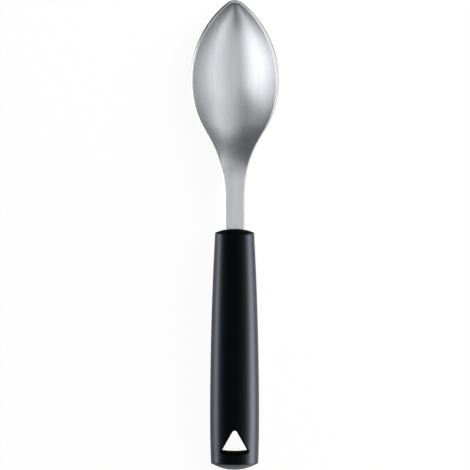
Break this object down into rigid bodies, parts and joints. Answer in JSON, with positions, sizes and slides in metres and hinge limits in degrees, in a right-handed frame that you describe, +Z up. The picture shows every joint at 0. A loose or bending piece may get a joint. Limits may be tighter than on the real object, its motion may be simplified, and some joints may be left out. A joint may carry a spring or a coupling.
{
  "type": "quenelle spoon",
  "caption": "Pointed oval steel spoon for shaping quenelles, with a ground rim, a flat neck raised above it and a black oval moulded handle with a triangular hanging hole.",
  "frame": {"origin": "middle of the spoon's length and width, on the table that it lies on, bowl up", "axes": "+Y along the spoon from the handle to the tip of the bowl, +Z up out of the bowl, square to its rim, +X across it"},
  "size_m": [0.0478, 0.2549, 0.025],
  "materials": {
    "satin_steel": "satin, brushed along its length",
    "grip_black": "matte, with a fine moulded grain",
    "end_black": "satin, as moulded"
  },
  "bodies": {
    "root": {"spoon_blade": "satin_steel", "front_collar": "end_black", "handle_grip": "grip_black", "end_plug": "end_black"}
  },
  "joints": []
}
